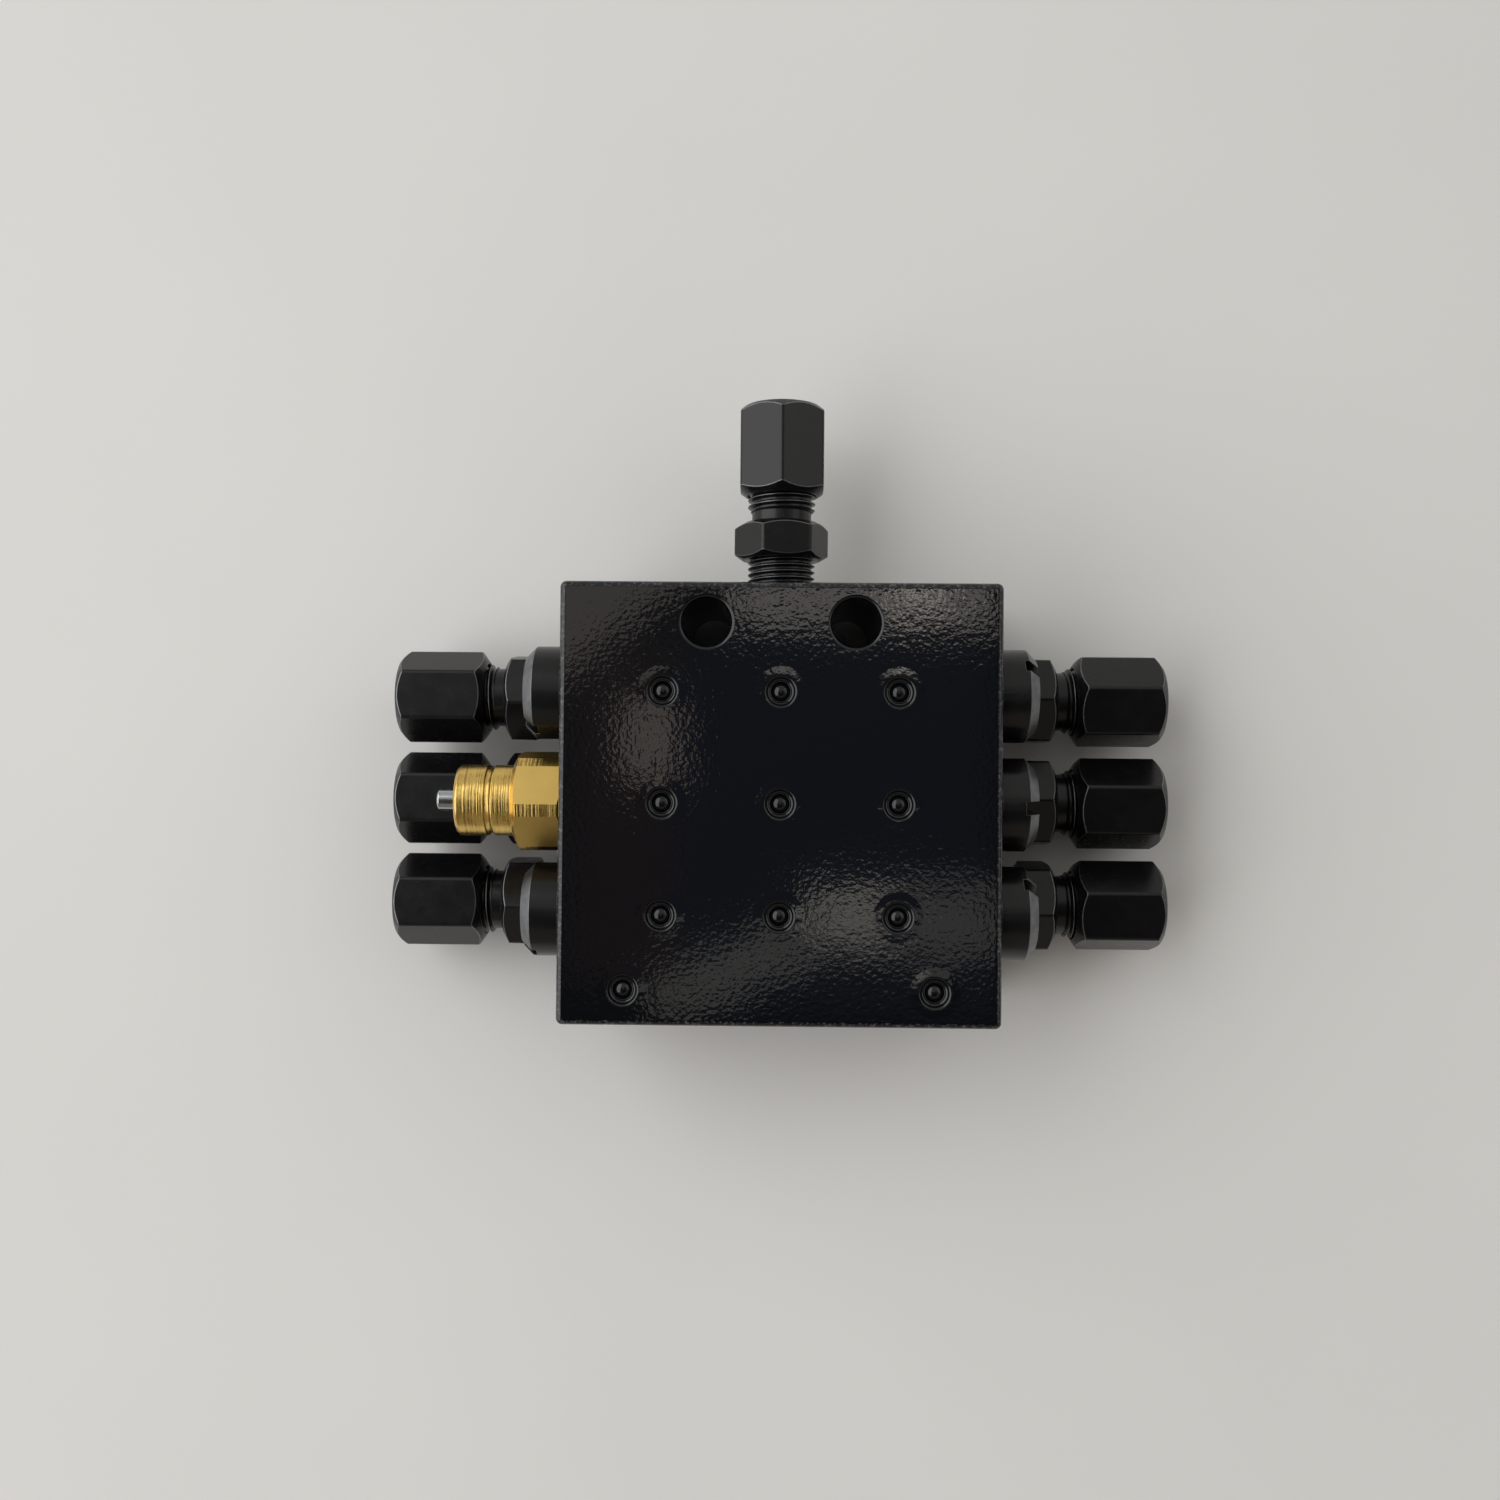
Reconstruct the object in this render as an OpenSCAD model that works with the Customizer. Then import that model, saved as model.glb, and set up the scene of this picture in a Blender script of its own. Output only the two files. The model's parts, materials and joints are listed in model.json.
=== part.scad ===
// Progressive lubricant divider: one inlet, six outlets, three metering pistons and a cycle indicator.
// The origin is the centre of the mounting face. X points to the right outlets, Y to the inlet
// and Z out of the front face with the ball plugs. All sizes are millimetres.

/* [Block] */
// Width between the two outlet faces
block_w = 60; // [58:1:76]
// Height from the bottom face to the inlet face
block_h = 60; // [58:1:76]
// Thickness from the mounting face to the front face
block_t = 30; // [29.5:0.5:36]
// Chamfer along every outer edge
block_edge = 0.7; // [0.3:0.1:1.2]
// Distance between neighbouring piston rows
row_pitch = 15.15; // [14.6:0.05:16.5]

/* [Mounting holes] */
// Distance between the two mounting holes
bolt_spacing = 20.2; // [19:0.2:26]
// Diameter of each mounting hole
bolt_hole_d = 6.6; // [5.5:0.1:7]
// Distance of the mounting holes from the inlet face
bolt_from_top = 5.5; // [5:0.1:6]
// Chamfer on the rims of the mounting holes
bolt_rim = 0.4; // [0.1:0.1:0.8]

/* [Tube fittings] */
// Outside diameter of the lubricant tube
tube_d = 6; // [4:0.25:6.5]
// Wall between the tube and the crest of the coupling thread
coupling_wall = 1.95; // [1.75:0.05:2.1]
// Wall between the coupling thread and the flats of the union nut
nut_wall = 1.05; // [0.9:0.05:1.2]
// Diameter of the stud thread that enters the block
stud_d = 9.7; // [9:0.1:10.5]
// Length of stud inside the block
stud_depth = 7; // [5:0.5:9]
// Length of outlet stud that shows between block and hexagon
outlet_stud_show = 5.3; // [4:0.1:8]
// Length of inlet stud that shows between block and hexagon
inlet_stud_show = 5; // [3:0.1:8]
// Body hexagon across flats
hex_af = 12; // [11:0.25:12.5]
// Body hexagon length
hex_l = 5.4; // [4:0.2:8]
// Depth of the relief between hexagon and coupling thread
relief_depth = 0.65; // [0.4:0.05:0.9]
// Length of the relief between hexagon and coupling thread
relief_l = 1.5; // [1:0.1:2]
// Length of the coupling thread
coupling_l = 8.2; // [7:0.2:10]
// Extra length of the coupling thread on the inlet
inlet_reach = 1; // [0:0.1:2]
// Gap between body hexagon and union nut
nut_gap = 2.9; // [2:0.1:4]
// Length of the tube guide at the mouth of the union nut
tube_guide = 3.95; // [3:0.05:8]
// Diameter of the flow passage through body and block
flow_d = 4; // [2.5:0.25:4.25]

/* [Screw plugs] */
// Diameter of the plug head
plug_d = 13; // [12.5:0.25:13.5]
// Height of the plug head above the block
plug_head = 5.4; // [4:0.2:7]
// Chamfer on the plug head
plug_chamfer = 1.4; // [0.5:0.1:1.8]
// Width of the screwdriver slot
slot_w = 1.8; // [1:0.1:2.5]
// Depth of the screwdriver slot
slot_depth = 2; // [1:0.1:2.5]
// Diameter of the plug thread
plug_thread_d = 9.9; // [9.5:0.1:10.5]
// Length of the plug thread inside the block
plug_thread_l = 8; // [6:0.25:9]
// Section of the sealing rings under plugs and indicator housing
ring_section = 1.5; // [1:0.1:1.6]

/* [Pistons] */
// Diameter of the metering pistons
piston_d = 8; // [6:0.25:8.5]
// Stroke of the metering pistons
piston_stroke = 6; // [4:0.25:8]
// Diameter of the annular grooves of the pistons
piston_groove_d = 5.6; // [4.5:0.1:5.8]
// Length of each end land
piston_end_land = 9; // [7:0.25:11]
// Length of the middle land
piston_mid_land = 7; // [4:0.25:8]

/* [Cycle indicator] */
// Indicator housing across flats
housing_af = 13; // [12.5:0.25:13.5]
// Depth to which the corners of the housing hexagon are turned off
corner_turned = 0.45; // [0.2:0.05:0.7]
// Length of the housing hexagon
housing_hex = 6.9; // [5:0.1:8]
// Diameter of the round nose
nose_d = 9.9; // [8.5:0.1:10.5]
// Length of the round nose
nose_l = 8; // [6:0.2:12]
// Chamfer on the end of the nose
nose_edge = 0.4; // [0.2:0.1:0.8]
// Distance of the nose groove from the hexagon
groove_at = 2.8; // [1:0.1:4]
// Width of the nose groove
groove_w = 1; // [0.5:0.1:1.5]
// Depth of the nose groove
groove_depth = 0.35; // [0.2:0.05:0.6]
// Diameter of the indicator pin
pin_d = 3; // [2.5:0.1:3.4]
// Length of pin that shows at rest
pin_show = 3.1; // [1:0.1:6]
// Length of pin held in the middle piston
pin_grip = 7; // [5:0.25:8]
// Section of the pin seal
seal_section = 1.2; // [0.8:0.1:1.5]

/* [Ball plugs] */
// Ball diameter
ball_d = 3; // [2.7:0.05:3.2]
// Distance of the ball below the front face
ball_sink = 0.35; // [0.2:0.05:0.5]
// Diameter of the bowl at the front face
bowl_d = 4.4; // [4:0.1:5]
// Diameter of the drilled holes behind the balls
drill_d = 2.4; // [1.8:0.1:2.5]
// Distance of the outer columns of ball plugs from the outlet faces
column_inset = 14; // [12.5:0.25:16]
// Distance of the two lower ball plugs from the outlet faces
base_inset = 9; // [8:0.25:11]
// Distance of the two lower ball plugs from the bottom face
base_from_bottom = 4.8; // [4:0.1:5.5]

/* [Clearances] */
// Radial clearance of pistons and pin in their bores
running_gap = 0.03; // [0.02:0.005:0.05]
// Radial clearance between the modelled cylinders of mating threads
thread_gap = 0.05; // [0.03:0.01:0.1]
// Radial clearance of the tube in its guide and socket
tube_gap = 0.05; // [0.03:0.01:0.1]
// Clearance between seats that close on each other
seat_gap = 0.02; // [0.01:0.01:0.05]
// Gap between a piston and the plug at the end of its stroke
end_gap = 0.1; // [0.05:0.05:0.3]
// Gap between the hexagons of the outlets and the plugs in front of them
level_gap = 0.3; // [0.2:0.05:0.5]
// Wall between the piston bores and the front face
front_wall = 3.97; // [3.5:0.01:5]

/* [Hidden] */
$fn = 96;
over = 1;
row_names = ["top", "middle", "bottom"];
side_names = ["left", "right"];
side_sign = [-1, 1];
column_names = ["left", "centre", "right"];
// The end at which each piston rests, by row: left is -1 and right is 1
piston_rest = [-1, 1, 1];
// Turn of each body hexagon, by side and row
outlet_hex_turn = [[38, 0, 34], [29, 24, 38]];
// Turn of each union nut, by side and row
outlet_nut_turn = [[-1, -2, -1], [15, 8, 11]];
inlet_hex_turn = 7;
inlet_nut_turn = 30;
// Turn of each screwdriver slot from the Z direction, by side and row
slot_turn = [[56, 0, 64], [-38, 3, -43]];
// Turn of the housing hexagon
housing_turn = 20;

thread_d = tube_d + 2 * coupling_wall;
nut_af = thread_d + 2 * nut_wall;
stud_r = stud_d / 2;
thread_r = thread_d / 2;
flow_r = flow_d / 2;
socket_r = tube_d / 2 + tube_gap;
relief_r = thread_r - relief_depth;
// Fitting stations along its axis, counted from the inner end of the hexagon
at_relief = hex_l;
at_thread = at_relief + relief_l;
at_end = at_thread + coupling_l;
cone_slope = tan(12);
mouth_r = thread_r - 0.43 * coupling_wall;
at_cone = at_end - (mouth_r - socket_r) / cone_slope;
at_stop = at_cone - 0.43 * tube_d;
// Cutting ring and the 45 degree shoulder of the nut behind it
collar_r = mouth_r + tube_d / 20;
at_collar = at_end + tube_d / 30;
at_shoulder = at_collar + tube_d / 10;
at_ring_end = at_shoulder + collar_r - socket_r - 0.18 * coupling_wall;
shoulder_gap = seat_gap * sqrt(2);
at_guide = at_shoulder + collar_r - socket_r + shoulder_gap;
nut_thread_r = thread_r + thread_gap;
at_nut = at_relief + nut_gap;
at_nut_end = at_guide + tube_guide;
nut_corner_r = nut_af / sqrt(3);
hex_corner_r = hex_af / sqrt(3);
housing_corner_r = housing_af / sqrt(3) - corner_turned;

level_pitch = max(plug_d / 2 + hex_corner_r, housing_corner_r + hex_af / 2) + level_gap;
bore_r = piston_d / 2 + running_gap;
piston_z = block_t - front_wall - bore_r;
outlet_z = piston_z - level_pitch;
inlet_z = block_t / 2;
column_x = block_w / 2 - column_inset;
base_x = block_w / 2 - base_inset;
bolt_y = block_h / 2 - bolt_from_top;
base_y = base_from_bottom - block_h / 2;
port_depth = stud_depth + 1;
port_r = stud_r + thread_gap;
drill_r = drill_d / 2;

plug_port_r = plug_thread_d / 2 + thread_gap;
ring_neck_r = plug_thread_d / 2 - 0.75;
ring_mid_r = ring_neck_r + seat_gap + ring_section / 2;
ring_seat_r = ring_mid_r + ring_section / 2 + seat_gap;
ring_seat_l = ring_section + seat_gap;
chamber_l = block_w - 2 * plug_thread_l;
piston_l = chamber_l - piston_stroke - 2 * end_gap;

pin_r = pin_d / 2;
pin_bore_r = pin_r + running_gap;
seal_mid_r = pin_r + running_gap + seal_section / 2;
seal_groove_r = seal_mid_r + seal_section / 2 + seat_gap;
seal_groove_w = seal_section + 0.3;
at_seal = housing_hex / 2;
nose_end = housing_hex + nose_l;
pin_tip_x = -block_w / 2 - nose_end - pin_show;
pin_root_x = -(piston_l - piston_stroke) / 2 + pin_grip;

ball_r = ball_d / 2;
ball_z = block_t - ball_sink - ball_r;
ball_hole_r = ball_r + seat_gap;
ball_floor_z = ball_z - sqrt(ball_r * ball_r - drill_r * drill_r) - seat_gap;
bowl_r = bowl_d / 2;
bowl_depth = bowl_r - ball_hole_r;

function row_y(r) = row_pitch * (1 - r);
function outlet_name(s, r) = str("outlet_", side_names[s], "_", row_names[r]);
function plug_name(s, r) = str(side_names[s], "_", row_names[r]);
// Every screw plug sits at a side and row that the indicator leaves free
plug_spots = [for (s = [0 : 1], r = [0 : 2]) if (s != 0 || r != 1) [s, r]];
outlet_spots = [for (s = [0 : 1], r = [0 : 2]) [s, r]];
// Ball plugs: name, X, Y and the depth at which the drilled hole ends
row_balls = [for (r = [0 : 2], c = [0 : 2])
    [str(row_names[r], "_", column_names[c]), (c - 1) * column_x, row_y(r),
     c == 1 ? inlet_z : outlet_z]];
base_balls = [for (s = [0 : 1])
    [str("base_", side_names[s]), side_sign[s] * base_x, base_y, piston_z - drill_d]];
ball_spots = concat(row_balls, base_balls);

// Places children on a side face, with their Z axis pointing out of the block
module on_side(s, y, z) {
    translate([side_sign[s] * block_w / 2, y, z])
        rotate([0, side_sign[s] * 90, 0])
            children();
}

// Places children on the inlet face, with their Z axis pointing out of the block
module on_inlet() {
    translate([0, block_h / 2, inlet_z])
        rotate([-90, 0, 0])
            rotate([0, 0, 90])
                children();
}

module cut_corner_rect(a, b, c) {
    polygon([
        [-a / 2 + c, -b / 2], [a / 2 - c, -b / 2], [a / 2, -b / 2 + c], [a / 2, b / 2 - c],
        [a / 2 - c, b / 2], [-a / 2 + c, b / 2], [-a / 2, b / 2 - c], [-a / 2, -b / 2 + c]
    ]);
}

// Box with a chamfer on all twelve edges
module chamfered_box() {
    translate([0, 0, block_t / 2])
        intersection() {
            linear_extrude(block_t, center = true)
                cut_corner_rect(block_w, block_h, block_edge);
            rotate([90, 0, 0])
                linear_extrude(block_h + over, center = true)
                    cut_corner_rect(block_w, block_t, block_edge);
            rotate([0, 90, 0])
                linear_extrude(block_w + over, center = true)
                    cut_corner_rect(block_t, block_h, block_edge);
        }
}

// Hexagon bar with flats facing X, a conical chamfer at both ends and corners turned to a radius
module hex_bar(af, l, r_in, slope_in, r_out, slope_out, top_r) {
    intersection() {
        rotate([0, 0, 30])
            cylinder(r = af / sqrt(3), h = l, $fn = 6);
        rotate_extrude()
            polygon([
                [0, 0], [r_in, 0], [top_r, (top_r - r_in) * tan(slope_in)],
                [top_r, l - (top_r - r_out) * tan(slope_out)], [r_out, l], [0, l]
            ]);
    }
}

// Through hole with a chamfered rim at both ends
module bolt_hole_cut() {
    r = bolt_hole_d / 2;
    rotate_extrude()
        polygon([
            [0, -over], [r + bolt_rim + over, -over], [r, bolt_rim], [r, block_t - bolt_rim],
            [r + bolt_rim + over, block_t + over], [0, block_t + over]
        ]);
}

// Piston bore with a threaded port and a ring seat at both ends, centred along Z
module piston_bore_cut() {
    half = block_w / 2;
    step = half - plug_thread_l - 0.3;
    rotate_extrude()
        polygon([
            [0, -half - over], [ring_seat_r, -half - over], [ring_seat_r, -half + ring_seat_l],
            [plug_port_r, -half + ring_seat_l], [plug_port_r, -step], [bore_r, -step],
            [bore_r, step], [plug_port_r, step], [plug_port_r, half - ring_seat_l],
            [ring_seat_r, half - ring_seat_l], [ring_seat_r, half + over], [0, half + over]
        ]);
}

// Threaded port with a chamfered mouth and a drilled passage of the given length
module port_cut(length) {
    rim = 0.4;
    rotate_extrude()
        polygon([
            [0, over], [port_r + rim + over, over], [port_r, -rim], [port_r, -port_depth],
            [flow_r, -port_depth - port_r + flow_r], [flow_r, -length], [0, -length]
        ]);
}

// Seat of a ball plug with the drilled hole behind it, ending at the given height
module ball_seat_cut(end_z) {
    rotate_extrude()
        polygon([
            [0, end_z], [drill_r, end_z], [drill_r, ball_floor_z], [ball_hole_r, ball_floor_z],
            [ball_hole_r, block_t - bowl_depth], [bowl_r + over, block_t + over],
            [0, block_t + over]
        ]);
}

// Link from a lower drilled hole to the end chamber of the bottom piston
module base_link_cut() {
    translate([0, base_y, piston_z])
        rotate([-90, 0, 0])
            cylinder(r = drill_r - 0.3, h = row_y(2) - base_y);
}

module divider_block() {
    color("#151619")
        difference() {
            chamfered_box();
            for (s = side_sign)
                translate([s * bolt_spacing / 2, bolt_y, 0])
                    bolt_hole_cut();
            for (r = [0 : 2])
                translate([0, row_y(r), piston_z])
                    rotate([0, 90, 0])
                        piston_bore_cut();
            for (p = outlet_spots)
                on_side(p[0], row_y(p[1]), outlet_z)
                    port_cut(column_inset + drill_r);
            on_inlet()
                port_cut(block_h / 2 + row_pitch + drill_r);
            for (b = ball_spots)
                translate([b[1], b[2], 0])
                    ball_seat_cut(b[3]);
            for (b = base_balls)
                translate([b[1], 0, 0])
                    base_link_cut();
        }
}

module ball_plug(b) {
    color("#17181b")
        translate([b[1], b[2], ball_z])
            sphere(r = ball_r);
}

// Fitting body that shows a length of stud and whose coupling thread is longer by a reach
module fitting_body(show, turn, reach) {
    color("#26272a")
        translate([0, 0, show])
            difference() {
                union() {
                    rotate_extrude()
                        polygon([
                            [0, -show - stud_depth], [stud_r - 0.6, -show - stud_depth],
                            [stud_r, -show - stud_depth + 0.6], [stud_r, hex_l / 2],
                            [relief_r, hex_l / 2], [relief_r, at_thread],
                            [thread_r, at_thread + relief_depth], [thread_r, at_end + reach - 0.6],
                            [thread_r - 0.6, at_end + reach], [0, at_end + reach]
                        ]);
                    rotate([0, 0, turn])
                        hex_bar(hex_af, hex_l, hex_af / 2 - 0.4, 30, hex_af / 2 - 0.8, 30,
                            hex_corner_r + over);
                }
                rotate_extrude()
                    polygon([
                        [0, -show - stud_depth - over], [flow_r, -show - stud_depth - over],
                        [flow_r, at_stop + reach], [socket_r, at_stop + reach],
                        [socket_r, at_cone + reach],
                        [mouth_r + over * cone_slope, at_end + reach + over],
                        [0, at_end + reach + over]
                    ]);
            }
}

module union_nut(show, turn) {
    color("#2a2b2e")
        translate([0, 0, show])
            difference() {
                translate([0, 0, at_nut])
                    rotate([0, 0, turn])
                        hex_bar(nut_af, at_nut_end - at_nut, nut_thread_r + 0.25, 35,
                            nut_af / 2 - 0.45, 40, nut_corner_r + over);
                rotate_extrude()
                    polygon([
                        [0, at_nut - over], [nut_thread_r, at_nut - over],
                        [nut_thread_r, at_guide - nut_thread_r + socket_r], [socket_r, at_guide],
                        [socket_r, at_nut_end + over], [0, at_nut_end + over]
                    ]);
            }
}

// Cutting ring between the cone of the body and the shoulder of the nut
module ferrule(show) {
    tip = at_cone + tube_d / 5;
    tip_r = socket_r + (tip - at_cone) * cone_slope - seat_gap;
    lip_r = mouth_r - seat_gap;
    color("#b9bcc0")
        translate([0, 0, show])
            rotate_extrude()
                polygon([
                    [socket_r, tip], [tip_r, tip], [lip_r, at_end], [lip_r, at_collar],
                    [collar_r, at_collar], [collar_r, at_shoulder],
                    [collar_r - at_ring_end + at_shoulder, at_ring_end], [socket_r, at_ring_end]
                ]);
}

module screw_plug(turn) {
    head_r = plug_d / 2;
    root_r = plug_thread_d / 2;
    color("#222326")
        difference() {
            rotate_extrude()
                polygon([
                    [0, -plug_thread_l], [root_r - 0.7, -plug_thread_l],
                    [root_r, -plug_thread_l + 0.7], [root_r, -ring_seat_l - 0.75],
                    [ring_neck_r, -ring_seat_l], [ring_neck_r, 0], [head_r, 0],
                    [head_r, plug_head - plug_chamfer], [head_r - plug_chamfer, plug_head],
                    [0, plug_head]
                ]);
            rotate([0, 0, turn])
                translate([-plug_d, -slot_w / 2, plug_head - slot_depth])
                    cube([2 * plug_d, slot_w, slot_depth + over]);
        }
}

// Sealing ring under a plug head or under the indicator housing
module sealing_ring() {
    color("#101010")
        translate([0, 0, -ring_seat_l / 2])
            rotate_extrude()
                translate([ring_mid_r, 0])
                    circle(d = ring_section);
}

module indicator_housing() {
    root_r = plug_thread_d / 2;
    nose_r = nose_d / 2;
    groove_z = housing_hex + groove_at;
    color("#c9a24a")
        on_side(0, row_y(1), piston_z)
            difference() {
                union() {
                    rotate_extrude()
                        polygon([
                            [0, -plug_thread_l], [root_r - 0.7, -plug_thread_l],
                            [root_r, -plug_thread_l + 0.7], [root_r, -ring_seat_l - 0.75],
                            [ring_neck_r, -ring_seat_l], [ring_neck_r, housing_hex / 2],
                            [nose_r, housing_hex / 2], [nose_r, groove_z],
                            [nose_r - groove_depth, groove_z + groove_depth],
                            [nose_r - groove_depth, groove_z + groove_w],
                            [nose_r, groove_z + groove_w], [nose_r, nose_end - nose_edge],
                            [nose_r - nose_edge, nose_end], [0, nose_end]
                        ]);
                    rotate([0, 0, housing_turn])
                        hex_bar(housing_af, housing_hex, housing_af / 2 + 0.1, 30,
                            nose_r + 0.6, 30, housing_corner_r);
                }
                rotate_extrude()
                    polygon([
                        [0, -plug_thread_l - over], [pin_bore_r, -plug_thread_l - over],
                        [pin_bore_r, at_seal - seal_groove_w / 2],
                        [seal_groove_r, at_seal - seal_groove_w / 2],
                        [seal_groove_r, at_seal + seal_groove_w / 2],
                        [pin_bore_r, at_seal + seal_groove_w / 2],
                        [pin_bore_r, nose_end + over], [0, nose_end + over]
                    ]);
            }
}

module housing_ring() {
    on_side(0, row_y(1), piston_z)
        sealing_ring();
}

module pin_seal() {
    color("#101010")
        on_side(0, row_y(1), piston_z)
            translate([0, 0, at_seal])
                rotate_extrude()
                    translate([seal_mid_r, 0])
                        circle(d = seal_section);
}

module indicator_pin() {
    tip = 0.4;
    length = pin_root_x - pin_tip_x;
    color("#d9dadc")
        translate([pin_root_x, row_y(1), piston_z])
            rotate([0, -90, 0])
                rotate_extrude()
                    polygon([
                        [0, 0], [pin_r - tip, 0], [pin_r, tip], [pin_r, length - tip],
                        [pin_r - tip, length], [0, length]
                    ]);
}

// Spool with two end lands, a middle land and two annular grooves
module metering_piston(r) {
    half = piston_l / 2;
    land_r = piston_d / 2;
    waist_r = piston_groove_d / 2;
    inner = half - piston_end_land;
    mid = piston_mid_land / 2;
    edge = 0.3;
    color("#a9acb1")
        translate([piston_rest[r] * piston_stroke / 2, row_y(r), piston_z])
            rotate([0, -90, 0])
                difference() {
                    rotate_extrude()
                        polygon([
                            [0, -half], [land_r - edge, -half], [land_r, -half + edge],
                            [land_r, -inner], [waist_r, -inner], [waist_r, -mid], [land_r, -mid],
                            [land_r, mid], [waist_r, mid], [waist_r, inner], [land_r, inner],
                            [land_r, half - edge], [land_r - edge, half], [0, half]
                        ]);
                    if (r == 1)
                        translate([0, 0, half - pin_grip])
                            cylinder(r = pin_r + seat_gap, h = pin_grip + over);
                }
}

module outlet_body(s, r) {
    on_side(s, row_y(r), outlet_z)
        fitting_body(outlet_stud_show, side_sign[s] * outlet_hex_turn[s][r], 0);
}

module outlet_nut(s, r) {
    on_side(s, row_y(r), outlet_z)
        union_nut(outlet_stud_show, side_sign[s] * outlet_nut_turn[s][r]);
}

module outlet_ferrule(s, r) {
    on_side(s, row_y(r), outlet_z)
        ferrule(outlet_stud_show);
}

module side_plug(s, r) {
    on_side(s, row_y(r), piston_z)
        screw_plug(side_sign[s] * slot_turn[s][r]);
}

module side_ring(s, r) {
    on_side(s, row_y(r), piston_z)
        sealing_ring();
}

module inlet_body() {
    on_inlet()
        fitting_body(inlet_stud_show, inlet_hex_turn, inlet_reach);
}

module inlet_nut() {
    on_inlet()
        union_nut(inlet_stud_show + inlet_reach, inlet_nut_turn);
}

module inlet_ferrule() {
    on_inlet()
        ferrule(inlet_stud_show + inlet_reach);
}

divider_block();
for (b = ball_spots)
    ball_plug(b);
inlet_body();
inlet_nut();
inlet_ferrule();
for (p = outlet_spots) {
    outlet_body(p[0], p[1]);
    outlet_nut(p[0], p[1]);
    outlet_ferrule(p[0], p[1]);
}
for (p = plug_spots) {
    side_plug(p[0], p[1]);
    side_ring(p[0], p[1]);
}
indicator_housing();
housing_ring();
pin_seal();
indicator_pin();
for (r = [0 : 2])
    metering_piston(r);
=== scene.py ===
"""Looks of a progressive lubricant divider: painted block, fittings, plugs and cycle indicator."""

import json
import math

import bpy
from mathutils import Matrix, Vector


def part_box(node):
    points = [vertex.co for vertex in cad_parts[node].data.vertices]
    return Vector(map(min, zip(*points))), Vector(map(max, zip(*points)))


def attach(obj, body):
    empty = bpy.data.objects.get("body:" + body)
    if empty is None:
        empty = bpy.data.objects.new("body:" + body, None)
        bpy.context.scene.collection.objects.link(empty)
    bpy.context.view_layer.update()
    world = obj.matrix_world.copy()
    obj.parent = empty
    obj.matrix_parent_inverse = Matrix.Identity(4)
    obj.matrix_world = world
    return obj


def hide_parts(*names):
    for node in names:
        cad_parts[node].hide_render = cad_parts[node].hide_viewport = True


bl_info = {
    "name": "Lubricant Divider Looks",
    "version": (1, 0, 0),
    "blender": (4, 5, 0),
    "location": "3D View > Sidebar > Divider",
    "description": "Models the visible pieces of a progressive lubricant divider around its CAD frame",
    "category": "Object",
}

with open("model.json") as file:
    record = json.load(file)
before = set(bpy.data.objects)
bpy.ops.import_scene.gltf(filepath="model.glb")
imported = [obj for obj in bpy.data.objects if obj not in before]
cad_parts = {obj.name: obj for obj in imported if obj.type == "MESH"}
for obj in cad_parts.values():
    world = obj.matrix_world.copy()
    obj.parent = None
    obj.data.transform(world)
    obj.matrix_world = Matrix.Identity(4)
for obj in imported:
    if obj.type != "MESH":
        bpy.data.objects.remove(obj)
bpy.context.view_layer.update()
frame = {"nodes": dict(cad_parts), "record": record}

MM = 0.001
STEPS = 96
ROWS = ("top", "middle", "bottom")
SIDES = {"left": -1, "right": 1}
# Turns of the side pieces about their axes, in degrees, by side and row as in the CAD
BODY_TURN = {"left": (38, 0, 34), "right": (29, 24, 38)}
NUT_TURN = {"left": (-1, -2, -1), "right": (15, 8, 11)}
SLOT_TURN = {"left": (56, 0, 64), "right": (-38, 3, -43)}
HOUSING_TURN = -20
INLET_BODY_TURN = 7
INLET_NUT_TURN = 30
# Stations of a fitting along its axis, in millimetres from the inner end of its hexagon
HEX_END = 5.4
THREAD_START = 6.9
COUPLING_END = 15.1
NUT_START = 8.3
NUT_END = 21.24
TUBE_STOP = 7.526
CONE_START = 10.106
GUIDE_START = 17.29
STUD_IN_BLOCK = 7.0
# The inlet's coupling thread is longer than an outlet's
INLET_REACH = 1.0
# Radii and depths of the bores, in millimetres
PISTON_BORE = 4.03
PLUG_PORT = 5.0
PLUG_PORT_DEPTH = 8.3
RING_SEAT = 5.755
RING_SEAT_DEPTH = 1.52
FITTING_PORT = 4.9
FITTING_PORT_DEPTH = 8.0
BALL_SEAT_DEPTH = 2.77
PASSAGE = 2.0
TUBE_HOLE = 3.05
TUBE_MOUTH = 4.3241
NUT_THREAD = 5.0
PIN_HOLE = 1.53
# Shank of a screw plug and of the indicator housing, as radius and height from the face of the block
PLUG_SHANK = [(0, -8), (4.25, -8), (4.95, -7.3), (4.95, -2.27), (4.2, -1.52)]
# Rounding of the bolt hole rims, and height and slope of the paint raised round each bowl
BOLT_RIM = 0.55
RING_RISE = 0.034
RING_SLOPE = 0.0273
LIP_ROUND = 0.45
# The floor, in metres, lies a little below the mounting face
FLOOR_SIZE = 8.0
FLOOR_GAP = 0.0002
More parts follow.
